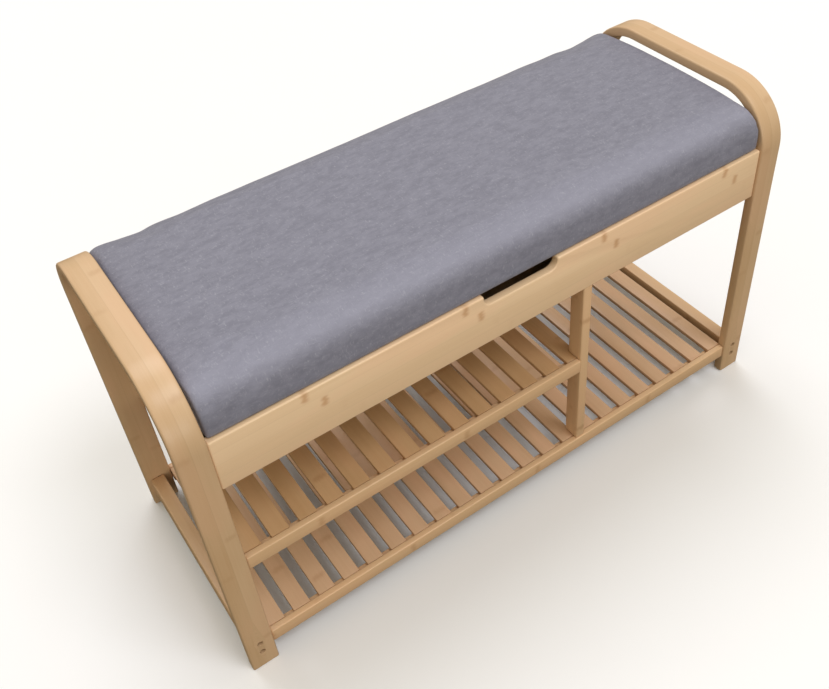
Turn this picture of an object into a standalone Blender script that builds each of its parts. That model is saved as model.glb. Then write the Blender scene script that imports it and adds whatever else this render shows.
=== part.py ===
"""Entryway bench: bent-wood end frames, a storage box with an upholstered flip-up lid,
a slatted middle shelf beside an open tall bay, and a slatted bottom shelf.

Units are metres.  X runs along the bench, -Y is the front, +Z is up, and the origin is
on the floor under the middle of the bench.
"""

import math

import bmesh
import bpy
from mathutils import Matrix

# ---------------------------------------------------------------- driving dimensions
LENGTH = 0.900
DEPTH = 0.344
HEIGHT = 0.512
GAP = 0.0003                      # clearance between pieces that touch

# End frames: one bent band each
BAND_WIDTH = 0.0375
BAND_THICK = 0.015
BEND_RADIUS = 0.083               # outer radius of both bends
BEND_STEPS = 12
BAND_ROUND = 0.0025

# Storage box
BOARD_THICK = 0.012
BOX_BOTTOM = 0.357
APRON_TOP = 0.4352
APRON_SETBACK = 0.003             # apron face behind the face of the legs
BACK_FACE = 0.163                 # outer face of the back panel
BACK_TOP_DROP = 0.0015            # room for the hinge leaf on the back panel
FLOOR_THICK = 0.005
FLOOR_LIFT = 0.007
GROOVE_DEPTH = 0.004

# Finger notch in the apron's top edge
NOTCH_HALF = 0.056
NOTCH_RADIUS = 0.012
NOTCH_BOTTOM = 0.419

# Lid: board and upholstery
LID_BOTTOM = 0.4355
LID_HALF_LENGTH = 0.4105
LID_BACK = 0.163
LID_FRONT = -0.167
BOARD_HALF_DEPTH = 0.158
LID_BOARD_THICK = 0.012
COVER_THICK = 0.008               # upholstery wrapped round the board's ends
SEAT_TOP = 0.4915
SEAT_CROWN = 0.005
FRONT_ROLL = 0.045
BACK_ROLL = 0.015
END_ROUND = 0.006
LID_OPENING = 95                  # degrees, for the record of the joint

# Shelf frames
RAIL_DEPTH = 0.018
RAIL_HEIGHT = 0.022
RABBET_DEPTH = 0.009
BOTTOM_SHELF_TOP = 0.055
MID_SHELF_TOP = 0.2235
END_RAIL_HEIGHT = 0.032
END_RAIL_OUTSET = 0.006           # end rail's outer face inside the band's outer edge
END_RAIL_WIDTH = 0.020

# Slats
SLAT_WIDTH = 0.0243
SLAT_THICK = 0.007
BOTTOM_SLATS = 22
MID_SLATS = 14
SLAT_ROUND = 0.001

# Divider posts
POST_X = 0.1105
POST_WIDTH = 0.015
POST_DEPTH = 0.026
POST_SETBACK = 0.0015             # post face behind the rail face

# Hinges
HINGE_X = 0.280
HINGE_WIDTH = 0.060
LEAF_THICK = 0.0012
LEAF_REACH = 0.032
KNUCKLE_RADIUS = 0.003
BORE_RADIUS = 0.0016
PIN_RADIUS = 0.0013
PIN_HEAD = 0.0008
KNUCKLE_SIDES = 16

# Bolts through the legs into the end rails
BOLT_HEIGHTS = (0.0315, 0.0505)
BOLT_RADIUS = 0.0038

# ---------------------------------------------------------------- derived places
LEG_INSIDE = LENGTH / 2 - BAND_WIDTH
LEG_BACK = DEPTH / 2 - BAND_THICK
BAND_CENTRE = LENGTH / 2 - BAND_WIDTH / 2
FRONT_FACE = -DEPTH / 2 + APRON_SETBACK
SPAN = LEG_INSIDE - GAP           # half length of whatever runs between the two frames
BACK_PANEL_TOP = APRON_TOP - BACK_TOP_DROP
HINGE_Y = BACK_FACE + GAP + KNUCKLE_RADIUS
HINGE_Z = BACK_PANEL_TOP + GAP + LEAF_THICK - KNUCKLE_RADIUS

BAMBOO = ("bamboo", (0.66, 0.45, 0.25), 0.42, 0.0)
PLYWOOD = ("plywood", (0.58, 0.42, 0.27), 0.6, 0.0)
HEATHER = ("seat_fabric", (0.28, 0.28, 0.32), 0.9, 0.0)
STEEL = ("hinge_steel", (0.62, 0.62, 0.60), 0.3, 1.0)


def clear_scene():
    for item in list(bpy.data.objects):
        bpy.data.objects.remove(item, do_unlink=True)


def new_collection(name):
    group = bpy.data.collections.new(name)
    bpy.context.scene.collection.children.link(group)
    return group


def finish_material(part, finish):
    """Give the part a material of its own with the finish's colour and gloss."""
    slot, colour, roughness, metallic = finish
    material = bpy.data.materials.new(part.name + "_" + slot)
    material.use_nodes = True
    shader = material.node_tree.nodes["Principled BSDF"]
    shader.inputs["Base Color"].default_value = (*colour, 1.0)
    shader.inputs["Roughness"].default_value = roughness
    shader.inputs["Metallic"].default_value = metallic
    part.data.materials.clear()
    part.data.materials.append(material)


def move_to(part, group):
    for old in list(part.users_collection):
        old.objects.unlink(part)
    group.objects.link(part)


def box(name, low, high, group):
    """An axis-aligned box from its lowest to its highest corner."""
    centre = [(a + b) / 2 for a, b in zip(low, high)]
    size = [b - a for a, b in zip(low, high)]
    bpy.ops.mesh.primitive_cube_add(size=1.0, location=centre)
    part = bpy.context.object
    part.name = name
    part.data.transform(Matrix.Diagonal((*size, 1.0)))
    move_to(part, group)
    return part


def rod(name, radius, start_x, end_x, y, z, group, sides=KNUCKLE_SIDES):
    """A cylinder along X."""
    bpy.ops.mesh.primitive_cylinder_add(vertices=sides, radius=radius, depth=end_x - start_x,
                                        location=((start_x + end_x) / 2, y, z),
                                        rotation=(0.0, math.pi / 2, 0.0))
    part = bpy.context.object
    part.name = name
    move_to(part, group)
    return part


def outline_solid(name, points, centre_x, width, group):
    """A flat outline given as (y, z) points, extruded along X about centre_x, as a mesh."""
    curve = bpy.data.curves.new(name, "CURVE")
    curve.dimensions = "2D"
    curve.fill_mode = "BOTH"
    curve.extrude = width / 2
    line = curve.splines.new("POLY")
    line.points.add(len(points) - 1)
    for point, (y, z) in zip(line.points, points):
        point.co = (y, z, 0.0, 1.0)
    line.use_cyclic_u = True
    guide = bpy.data.objects.new(name + "_outline", curve)
    guide.location = (centre_x, 0.0, 0.0)
    guide.rotation_euler = (math.pi / 2, 0.0, math.pi / 2)
    group.objects.link(guide)
    bpy.context.view_layer.update()

    depsgraph = bpy.context.evaluated_depsgraph_get()
    mesh = bpy.data.meshes.new_from_object(guide.evaluated_get(depsgraph))
    solid = bmesh.new()
    solid.from_mesh(mesh)
    bmesh.ops.remove_doubles(solid, verts=solid.verts, dist=0.00002)
    bmesh.ops.recalc_face_normals(solid, faces=solid.faces)
    solid.to_mesh(mesh)
    solid.free()
    mesh.name = name
    part = bpy.data.objects.new(name, mesh)
    part.matrix_world = guide.matrix_world.copy()
    group.objects.link(part)
    bpy.data.objects.remove(guide, do_unlink=True)
    return part


def arc(centre_y, centre_z, radius, start, end, steps):
    """Points on a circle, angles in degrees from +Y towards +Z."""
    turns = [math.radians(start + (end - start) * i / steps) for i in range(steps + 1)]
    return [(centre_y + radius * math.cos(t), centre_z + radius * math.sin(t)) for t in turns]


def round_edges(part, width, segments=1):
    bevel = part.modifiers.new("rounded_edges", "BEVEL")
    bevel.width = width
    bevel.segments = segments
    bevel.limit_method = "ANGLE"
    bevel.angle_limit = math.radians(30)


def combine(part, other, operation):
    """Cut the part with a cutter, or join a shape to it."""
    other.hide_render = True
    other.display_type = "WIRE"
    joint = part.modifiers.new(operation.lower() + "_" + other.name, "BOOLEAN")
    joint.operation = operation
    joint.object = other


def shade(part):
    """Smooth shading on the round faces, with crisp flats."""
    part.data.shade_smooth()
    part.data.set_sharp_from_angle(angle=math.radians(35))


# ---------------------------------------------------------------- end frames
def build_arch(side, parts, cutters):
    """One bent band: up the front leg, over the top and down the back leg."""
    inner = BEND_RADIUS - BAND_THICK
    flat = DEPTH / 2 - BEND_RADIUS
    bend_z = HEIGHT - BEND_RADIUS
    outside = [(DEPTH / 2, 0.0)]
    outside += arc(flat, bend_z, BEND_RADIUS, 0, 90, BEND_STEPS)
    outside += arc(-flat, bend_z, BEND_RADIUS, 90, 180, BEND_STEPS)
    outside += [(-DEPTH / 2, 0.0)]
    inside = [(-LEG_BACK, 0.0)]
    inside += arc(-flat, bend_z, inner, 180, 90, BEND_STEPS)
    inside += arc(flat, bend_z, inner, 90, 0, BEND_STEPS)
    inside += [(LEG_BACK, 0.0)]

    name = "left_arch" if side < 0 else "right_arch"
    part = outline_solid(name, outside + inside, side * BAND_CENTRE, BAND_WIDTH, parts)
    round_edges(part, BAND_ROUND, segments=2)
    for number, height in enumerate(BOLT_HEIGHTS, start=1):
        hole = rod(name + "_bolt_hole_" + str(number), BOLT_RADIUS, -DEPTH, DEPTH,
                   0.0, height, cutters, sides=12)
        hole.rotation_euler = (math.pi / 2, 0.0, 0.0)
        hole.location.x = side * BAND_CENTRE
        combine(part, hole, "DIFFERENCE")
    shade(part)
    finish_material(part, BAMBOO)


# ---------------------------------------------------------------- storage box
def build_box(parts, cutters):
    apron = box("front_apron", (-SPAN, FRONT_FACE, BOX_BOTTOM),
                (SPAN, FRONT_FACE + BOARD_THICK, APRON_TOP), parts)
    round_edges(apron, 0.0015)
    back = box("back_panel", (-SPAN, BACK_FACE - BOARD_THICK, BOX_BOTTOM),
               (SPAN, BACK_FACE, BACK_PANEL_TOP), parts)
    round_edges(back, 0.0015)

    # Finger notch: a slot with round lower corners, open at the top
    centre_z = NOTCH_BOTTOM + NOTCH_RADIUS
    middle = NOTCH_HALF - NOTCH_RADIUS
    notch = box("notch_middle", (-middle, FRONT_FACE - 0.01, NOTCH_BOTTOM),
                (middle, FRONT_FACE + BOARD_THICK + 0.01, APRON_TOP + 0.01), cutters)
    combine(apron, notch, "DIFFERENCE")
    upper = box("notch_upper", (-NOTCH_HALF, FRONT_FACE - 0.01, centre_z),
                (NOTCH_HALF, FRONT_FACE + BOARD_THICK + 0.01, APRON_TOP + 0.01), cutters)
    combine(apron, upper, "DIFFERENCE")
    for side in (-1, 1):
        corner = rod("notch_corner_" + str(side), NOTCH_RADIUS, -0.03, 0.03, FRONT_FACE,
                     centre_z, cutters, sides=24)
        corner.rotation_euler = (math.pi / 2, 0.0, 0.0)
        corner.location.x = side * middle
        combine(apron, corner, "DIFFERENCE")

    # Grooves for the floor in the apron and the back panel
    floor_low = BOX_BOTTOM + FLOOR_LIFT
    floor_high = floor_low + FLOOR_THICK
    front_inside = FRONT_FACE + BOARD_THICK
    back_inside = BACK_FACE - BOARD_THICK
    groove = box("floor_groove", (-LENGTH, front_inside - GROOVE_DEPTH - GAP, floor_low - GAP),
                 (LENGTH, back_inside + GROOVE_DEPTH + GAP, floor_high + GAP), cutters)
    combine(apron, groove, "DIFFERENCE")
    combine(back, groove, "DIFFERENCE")
    floor = box("box_floor", (-SPAN, front_inside - GROOVE_DEPTH, floor_low),
                (SPAN, back_inside + GROOVE_DEPTH, floor_high), parts)

    finish_material(apron, BAMBOO)
    finish_material(back, BAMBOO)
    finish_material(floor, PLYWOOD)

    for side, name in ((-1, "left_end_panel"), (1, "right_end_panel")):
        near = side * (LEG_INSIDE + GAP)
        far = side * (LEG_INSIDE + GAP + BOARD_THICK)
        panel = box(name, (min(near, far), -LEG_BACK + GAP, BOX_BOTTOM),
                    (max(near, far), LEG_BACK - GAP, APRON_TOP), parts)
        round_edges(panel, 0.0015)
        finish_material(panel, BAMBOO)


# ---------------------------------------------------------------- lid
def seat_outline():
    """Seat section from the front lower edge over the crown to the back lower edge."""
    front_centre = LID_FRONT + FRONT_ROLL
    back_centre = LID_BACK - BACK_ROLL
    points = [(LID_FRONT, LID_BOTTOM)]
    points += arc(front_centre, SEAT_TOP - FRONT_ROLL, FRONT_ROLL, 180, 90, 10)
    crown_half = (back_centre - front_centre) / 2
    crown_middle = (back_centre + front_centre) / 2
    for step in range(1, 8):
        reach = step / 4 - 1
        points.append((crown_middle + reach * crown_half, SEAT_TOP + SEAT_CROWN * (1 - reach ** 2)))
    points += arc(back_centre, SEAT_TOP - BACK_ROLL, BACK_ROLL, 90, 0, 5)
    points += [(LID_BACK, LID_BOTTOM)]
    return points


def build_lid(axis, parts, cutters):
    """Upholstered cushion with the stiff board let into its underside."""
    board_half = LID_HALF_LENGTH - COVER_THICK
    board_depth = BOARD_HALF_DEPTH
    cushion = outline_solid("seat_cushion", seat_outline(), 0.0, 2 * LID_HALF_LENGTH, parts)
    round_edges(cushion, END_ROUND, segments=2)
    recess = box("lid_recess", (-board_half - GAP, -board_depth - GAP, LID_BOTTOM - 0.01),
                 (board_half + GAP, board_depth + GAP, LID_BOTTOM + LID_BOARD_THICK + GAP), cutters)
    combine(cushion, recess, "DIFFERENCE")
    shade(cushion)
    finish_material(cushion, HEATHER)

    board = box("lid_board", (-board_half, -board_depth, LID_BOTTOM),
                (board_half, board_depth, LID_BOTTOM + LID_BOARD_THICK), parts)
    finish_material(board, PLYWOOD)
    attach(cushion, axis)
    attach(board, axis)


def attach(part, axis):
    """Hang a moving piece on the hinge axis without moving it."""
    part.parent = axis
    part.matrix_parent_inverse = axis.matrix_world.inverted()


# ---------------------------------------------------------------- hinges
def knuckle(name, start_x, end_x, parts):
    return rod(name, KNUCKLE_RADIUS, start_x, end_x, HINGE_Y, HINGE_Z, parts)


def bore(name, start_x, end_x, cutters):
    return rod(name, BORE_RADIUS, start_x - 0.01, end_x + 0.01, HINGE_Y, HINGE_Z, cutters)


def build_hinge(side, axis, parts, cutters):
    """A butt hinge: two leaves with interleaved knuckles on one pin."""
    label = "left" if side < 0 else "right"
    middle = side * HINGE_X
    half = HINGE_WIDTH / 2
    third = HINGE_WIDTH / 6
    lid_leaf_low = BACK_PANEL_TOP + GAP
    hole = bore(label + "_hinge_bore", middle - half, middle + half, cutters)

    # Leaf screwed to the back panel, with the two outer knuckles
    leaf = box(label + "_hinge_frame_leaf",
               (middle - half, BACK_FACE + GAP, BACK_PANEL_TOP - LEAF_REACH),
               (middle + half, BACK_FACE + GAP + LEAF_THICK, HINGE_Z - KNUCKLE_RADIUS - GAP), parts)
    for end in (-1, 1):
        low = middle + min(end * half, end * (third + GAP))
        high = middle + max(end * half, end * (third + GAP))
        tongue = box(leaf.name + "_tongue_" + str(end),
                     (low, BACK_FACE + GAP, HINGE_Z - KNUCKLE_RADIUS - 0.001),
                     (high, BACK_FACE + GAP + LEAF_THICK, HINGE_Z), cutters)
        combine(leaf, tongue, "UNION")
        combine(leaf, knuckle(leaf.name + "_knuckle_" + str(end), low, high, cutters), "UNION")
    combine(leaf, hole, "DIFFERENCE")
    finish_material(leaf, STEEL)

    # Leaf screwed under the lid board, with the middle knuckle
    clear_y = HINGE_Y - KNUCKLE_RADIUS - GAP
    lid_leaf = box(label + "_hinge_lid_leaf",
                   (middle - half, HINGE_Y - LEAF_REACH, lid_leaf_low),
                   (middle + half, clear_y, lid_leaf_low + LEAF_THICK), parts)
    tongue = box(lid_leaf.name + "_tongue", (middle - third + GAP, clear_y - 0.001, lid_leaf_low),
                 (middle + third - GAP, HINGE_Y, lid_leaf_low + LEAF_THICK), cutters)
    combine(lid_leaf, tongue, "UNION")
    combine(lid_leaf, knuckle(lid_leaf.name + "_knuckle", middle - third + GAP,
                              middle + third - GAP, cutters), "UNION")
    combine(lid_leaf, hole, "DIFFERENCE")
    finish_material(lid_leaf, STEEL)
    attach(lid_leaf, axis)

    # Pin with a thin head at each end
    pin = rod(label + "_hinge_pin", PIN_RADIUS, middle - half - PIN_HEAD / 2,
              middle + half + PIN_HEAD / 2, HINGE_Y, HINGE_Z, parts)
    for end in (-1, 1):
        head_middle = middle + end * (half + GAP + PIN_HEAD / 2)
        head = rod(pin.name + "_head_" + str(end), BORE_RADIUS + 0.0006, head_middle - PIN_HEAD / 2,
                   head_middle + PIN_HEAD / 2, HINGE_Y, HINGE_Z, cutters)
        combine(pin, head, "UNION")
    finish_material(pin, STEEL)


# ---------------------------------------------------------------- shelves
def build_rail(name, low_x, high_x, side, top, parts, cutters):
    """A rail along X with a rabbet on its inner top edge that the slats lie in."""
    outer = side * -FRONT_FACE
    inner = side * (-FRONT_FACE - RAIL_DEPTH)
    wall = side * (-FRONT_FACE - RAIL_DEPTH + RABBET_DEPTH)
    rail = box(name, (low_x, min(outer, inner), top - RAIL_HEIGHT),
               (high_x, max(outer, inner), top), parts)
    round_edges(rail, 0.0015)
    rabbet = box(name + "_rabbet", (low_x - 0.01, min(wall, 0.0), top - SLAT_THICK - GAP),
                 (high_x + 0.01, max(wall, 0.0), top + 0.01), cutters)
    combine(rail, rabbet, "DIFFERENCE")
    finish_material(rail, BAMBOO)


def build_slats(prefix, first, last, count, top, parts):
    """Slats along Y, evenly spaced between the outer edges first and last."""
    half_length = -FRONT_FACE - RAIL_DEPTH + RABBET_DEPTH - GAP
    pitch = (last - first - SLAT_WIDTH) / (count - 1)
    made = []
    for index in range(count):
        left = first + index * pitch
        slat = box(prefix + str(index + 1).zfill(2), (left, -half_length, top - SLAT_THICK),
                   (left + SLAT_WIDTH, half_length, top), parts)
        round_edges(slat, SLAT_ROUND)
        finish_material(slat, BAMBOO)
        made.append(slat)
    return made


def build_end_rail(side, parts):
    """A plain rail along Y between the legs of one frame, a finger's width clear of the slats."""
    outer = side * (LENGTH / 2 - END_RAIL_OUTSET)
    inner = side * (LENGTH / 2 - END_RAIL_OUTSET - END_RAIL_WIDTH)
    name = "left_end_rail" if side < 0 else "right_end_rail"
    top = BOTTOM_SHELF_TOP
    rail = box(name, (min(outer, inner), -LEG_BACK + GAP, top - END_RAIL_HEIGHT),
               (max(outer, inner), LEG_BACK - GAP, top), parts)
    round_edges(rail, 0.0015)
    finish_material(rail, BAMBOO)


def build_post(name, side, parts):
    """An upright between the bottom shelf and the storage box."""
    outer = side * (-FRONT_FACE - POST_SETBACK)
    inner = side * (-FRONT_FACE - POST_SETBACK - POST_DEPTH)
    post = box(name, (POST_X - POST_WIDTH / 2, min(outer, inner), BOTTOM_SHELF_TOP + GAP),
               (POST_X + POST_WIDTH / 2, max(outer, inner), BOX_BOTTOM - GAP), parts)
    round_edges(post, 0.002)
    finish_material(post, BAMBOO)
    return inner


def build_shelves(parts, cutters):
    build_rail("bottom_front_rail", -SPAN, SPAN, -1, BOTTOM_SHELF_TOP, parts, cutters)
    build_rail("bottom_back_rail", -SPAN, SPAN, 1, BOTTOM_SHELF_TOP, parts, cutters)
    for side in (-1, 1):
        build_end_rail(side, parts)
    build_slats("bottom_slat_", -SPAN, SPAN, BOTTOM_SLATS, BOTTOM_SHELF_TOP, parts)

    post_left = POST_X - POST_WIDTH / 2
    build_rail("mid_front_rail", -SPAN, post_left - GAP, -1, MID_SHELF_TOP, parts, cutters)
    build_rail("mid_back_rail", -SPAN, post_left - GAP, 1, MID_SHELF_TOP, parts, cutters)
    slats = build_slats("mid_slat_", -SPAN, POST_X, MID_SLATS, MID_SHELF_TOP, parts)

    # The last slat of the middle shelf is notched round the two posts
    for name, side in (("front_post", -1), ("back_post", 1)):
        inner = build_post(name, side, parts)
        near = inner - side * GAP
        far = side * DEPTH
        notch = box(name + "_notch", (post_left - GAP, min(near, far), MID_SHELF_TOP - 0.02),
                    (POST_X + 0.02, max(near, far), MID_SHELF_TOP + 0.01), cutters)
        combine(slats[-1], notch, "DIFFERENCE")


def main():
    clear_scene()
    parts = new_collection("entryway_bench")
    cutters = new_collection("cutters")

    lid_axis = bpy.data.objects.new("lid_hinge_axis", None)
    lid_axis.location = (0.0, HINGE_Y, HINGE_Z)
    parts.objects.link(lid_axis)
    bpy.context.view_layer.update()

    for side in (-1, 1):
        build_arch(side, parts, cutters)
    build_box(parts, cutters)
    build_lid(lid_axis, parts, cutters)
    for side in (-1, 1):
        build_hinge(side, lid_axis, parts, cutters)
    build_shelves(parts, cutters)


main()
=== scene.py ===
# %% [markdown]
# # An entryway bench in bamboo, with a padded lid
#
# The bench has two bent bamboo end frames, a storage box with an upholstered lid, a short
# slatted shelf at the left and a long slatted shelf at the bottom.  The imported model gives
# every piece its place and size.  This lesson gives the pieces their looks: rounded edges,
# a grain that follows each piece, a soft stuffed seat, screws and bolts, and studio light.

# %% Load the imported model
import math

import bmesh
import bpy
import numpy as np
from mathutils import Matrix, Vector, noise


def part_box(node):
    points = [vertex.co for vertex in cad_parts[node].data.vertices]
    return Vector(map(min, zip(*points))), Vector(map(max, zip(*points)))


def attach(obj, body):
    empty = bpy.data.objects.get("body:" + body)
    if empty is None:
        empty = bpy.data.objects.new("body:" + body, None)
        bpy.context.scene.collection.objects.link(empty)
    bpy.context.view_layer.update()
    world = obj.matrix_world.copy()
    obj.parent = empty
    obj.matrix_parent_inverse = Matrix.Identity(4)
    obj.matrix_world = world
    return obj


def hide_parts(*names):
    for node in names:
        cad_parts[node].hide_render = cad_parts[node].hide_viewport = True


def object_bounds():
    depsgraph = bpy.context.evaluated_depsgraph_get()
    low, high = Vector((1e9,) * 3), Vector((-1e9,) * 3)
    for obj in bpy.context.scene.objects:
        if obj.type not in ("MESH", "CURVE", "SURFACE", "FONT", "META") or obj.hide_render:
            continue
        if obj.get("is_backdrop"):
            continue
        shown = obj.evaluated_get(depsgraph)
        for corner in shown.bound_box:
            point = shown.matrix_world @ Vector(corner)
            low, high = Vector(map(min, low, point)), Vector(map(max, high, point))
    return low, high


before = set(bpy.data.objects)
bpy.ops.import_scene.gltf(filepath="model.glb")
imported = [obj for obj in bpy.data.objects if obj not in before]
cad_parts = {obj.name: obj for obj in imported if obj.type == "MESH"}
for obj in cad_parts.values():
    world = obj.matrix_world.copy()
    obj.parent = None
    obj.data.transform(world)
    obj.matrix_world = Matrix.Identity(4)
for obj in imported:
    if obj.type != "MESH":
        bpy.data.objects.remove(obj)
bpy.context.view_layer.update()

# %% [markdown]
# ## Small helpers for shader trees
#
# A shader tree is easier to read when each line adds one node and says what it is fed
# with.  `add` makes a node, `sums` makes a Math node from numbers or sockets, and the others
# make the few combinations that come back in every finish.

# %% Helpers for shader trees
def add(tree, kind, feeds=None, **settings):
    """Make a node; feeds maps an input's name or number to a value or another node's socket."""
    made = tree.nodes.new(kind)
    for key, value in settings.items():
        setattr(made, key, value)
    for key, value in (feeds or {}).items():
        if isinstance(value, bpy.types.NodeSocket):
            tree.links.new(value, made.inputs[key])
        else:
            made.inputs[key].default_value = value
    return made


def sums(tree, operation, *values, clamp=False):
    """A Math node's result."""
    made = add(tree, "ShaderNodeMath", dict(enumerate(values)), operation=operation)
    made.use_clamp = clamp
    return made.outputs[0]


def remap(tree, value, low, high, to_low=0.0, to_high=1.0):
    """A value from low..high brought to to_low..to_high, with soft ends."""
    made = add(tree, "ShaderNodeMapRange", {"Value": value, "From Min": low, "From Max": high,
                                            "To Min": to_low, "To Max": to_high},
               interpolation_type="SMOOTHSTEP")
    return made.outputs["Result"]


def mix_colours(tree, share, first, second):
    """Two colours mixed by share."""
    made = add(tree, "ShaderNodeMix", data_type="RGBA")
    for socket, value in zip((made.inputs[0], made.inputs[6], made.inputs[7]), (share, first, second)):
        if isinstance(value, bpy.types.NodeSocket):
            tree.links.new(value, socket)
        else:
            socket.default_value = value
    return made.outputs[2]


def stretched(tree, vector, scale):
    """A vector scaled by different amounts on each axis."""
    return add(tree, "ShaderNodeVectorMath", {0: vector, 1: scale}, operation="MULTIPLY").outputs[0]


def drawn_noise(tree, place, stretch, detail=2.0, roughness=0.5, distortion=0.0):
    """Noise that is drawn out by a different amount on each axis."""
    made = add(tree, "ShaderNodeTexNoise", {"Vector": stretched(tree, place, stretch), "Scale": 1.0,
                                            "Detail": detail, "Roughness": roughness,
                                            "Distortion": distortion})
    return made.outputs["Fac"]


def tinted(colour, *factors):
    """A colour times one factor, or times one each for its red, green and blue."""
    if len(factors) == 1:
        factors = factors * 3
    return tuple(min(1.0, c * f) for c, f in zip(colour, factors)) + (1.0,)


def new_material(name):
    """A material, its tree and its main shader node."""
    material = bpy.data.materials.new(name)
    material.use_nodes = True
    return material, material.node_tree, material.node_tree.nodes["Principled BSDF"]


def linear(red, green, blue):
    """An ordinary screen colour, 0 to 255, as the linear colour that shaders use."""
    values = [v / 255 for v in (red, green, blue)]
    return tuple(v / 12.92 if v < 0.04045 else ((v + 0.055) / 1.055) ** 2.4 for v in values) + (1.0,)


def new_group(name, inputs, outputs):
    """An empty shader group with named sockets; inputs are (name, kind, default)."""
    group = bpy.data.node_groups.new(name, "ShaderNodeTree")
    for label, kind, default in inputs:
        socket = group.interface.new_socket(label, in_out="INPUT", socket_type="NodeSocket" + kind)
        if default is not None:
            socket.default_value = default
    for label, kind in outputs:
        group.interface.new_socket(label, in_out="OUTPUT", socket_type="NodeSocket" + kind)
    return group, group.nodes.new("NodeGroupInput"), group.nodes.new("NodeGroupOutput")


def place_group(tree, group, feeds):
    """A group placed in a tree, with its own values."""
    made = tree.nodes.new("ShaderNodeGroup")
    made.node_tree = group
    for key, value in feeds.items():
        if isinstance(value, bpy.types.NodeSocket):
            tree.links.new(value, made.inputs[key])
        else:
            made.inputs[key].default_value = value
    return made


print("shader helpers ready")

# %% [markdown]
# ## Bamboo
#
# The boards are glued up from bamboo strips about 20 mm wide.  Every strip shows the
# stalk's nodes as short brown bands, one about every 22 cm, and no two neighbours have
# them at the same place.  Between them run fine straight fibres.  A solid texture can't
# follow a bent leg, so every piece carries its own grain coordinates: metres along the
# fibres, across the strips and through the layers.  One group turns those into masks.

# %% The bamboo group
def cross_fade(tree, rows):
    """1 along the middle of each strip, falling off towards its joints."""
    side = sums(tree, "ABSOLUTE", sums(tree, "SUBTRACT", sums(tree, "FRACT", rows), 0.5))
    return remap(tree, side, 0.50, 0.22)


def build_bamboo_group():
    """Masks for bamboo: each strip's tone, fibres, clouds, node marks, seams and relief."""
    group, given, result = new_group(
        "bamboo_figure",
        [("Grain", "Vector", None), ("Strip Width", "Float", 0.02), ("Layer", "Float", 0.0065),
         ("Node Spacing", "Float", 0.22), ("Stagger", "Float", 0.1), ("Jitter", "Float", 1.0),
         ("First Marked Strip", "Float", -1000.0), ("Seed", "Float", 0.0)],
        [("Strip Tone", "Float"), ("Fibre", "Float"), ("Cloud", "Float"),
         ("Node Mark", "Float"), ("Seam", "Float"), ("Relief", "Float")])
    grain = given.outputs["Grain"]
    parts = add(group, "ShaderNodeSeparateXYZ", {0: grain})
    along, across, through = parts.outputs
    rows = sums(group, "DIVIDE", across, given.outputs["Strip Width"])
    layers = sums(group, "DIVIDE", through, given.outputs["Layer"])
    row = sums(group, "FLOOR", rows)
    layer = sums(group, "FLOOR", layers)

    # One random number for each strip, from its row, its layer and the piece's seed
    own = sums(group, "MULTIPLY_ADD", layer, 5.17, given.outputs["Seed"])
    own = sums(group, "MULTIPLY_ADD", row, 3.31, own)
    tone = add(group, "ShaderNodeTexWhiteNoise", {"W": own}, noise_dimensions="1D").outputs["Value"]
    shifted = sums(group, "ADD", own, 0.37)
    chance = add(group, "ShaderNodeTexWhiteNoise", {"W": shifted}, noise_dimensions="1D").outputs["Value"]
    start = sums(group, "MULTIPLY_ADD", row, given.outputs["Stagger"],
                 sums(group, "MULTIPLY", chance, given.outputs["Jitter"]))

    # Distance along the strip to its nearest node, made uneven across the strip
    ragged = drawn_noise(group, grain, (60, 260, 260))
    wobble = sums(group, "MULTIPLY_ADD", ragged, 0.008, -0.004)
    place = sums(group, "ADD", along, wobble)
    turns = sums(group, "DIVIDE", place, given.outputs["Node Spacing"])
    turns = sums(group, "ADD", turns, start)
    offset = sums(group, "SUBTRACT", sums(group, "FRACT", turns), 0.5)
    distance = sums(group, "MULTIPLY", sums(group, "ABSOLUTE", offset), given.outputs["Node Spacing"])
    band = remap(group, distance, 0.0072, 0.0)
    first = given.outputs["First Marked Strip"]
    few = remap(group, row, sums(group, "SUBTRACT", first, 0.6), sums(group, "SUBTRACT", first, 0.4), 0.1)
    strength = sums(group, "MULTIPLY", sums(group, "MULTIPLY_ADD", tone, 0.4, 0.6), few)
    mark = sums(group, "MULTIPLY", sums(group, "MULTIPLY", band, strength), cross_fade(group, rows))

    # Joints between strips
    side = sums(group, "ABSOLUTE", sums(group, "SUBTRACT", sums(group, "FRACT", rows), 0.5))
    seam = remap(group, side, 0.470, 0.4995)

    fibre = drawn_noise(group, grain, (9, 900, 900), 3.0, 0.6)
    streak = drawn_noise(group, grain, (4, 190, 190))
    fibres = sums(group, "MULTIPLY_ADD", fibre, 0.5, sums(group, "MULTIPLY", streak, 0.5))
    cloud = drawn_noise(group, grain, (7, 26, 26))
    relief = sums(group, "SUBTRACT", fibres, sums(group, "MULTIPLY", seam, 0.6))
    for name, socket in (("Strip Tone", tone), ("Fibre", fibres), ("Cloud", cloud),
                         ("Node Mark", mark), ("Seam", seam), ("Relief", relief)):
        group.links.new(socket, result.inputs[name])
    return group


bamboo_group = build_bamboo_group()
print("bamboo group:", len(bamboo_group.nodes), "nodes")
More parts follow.
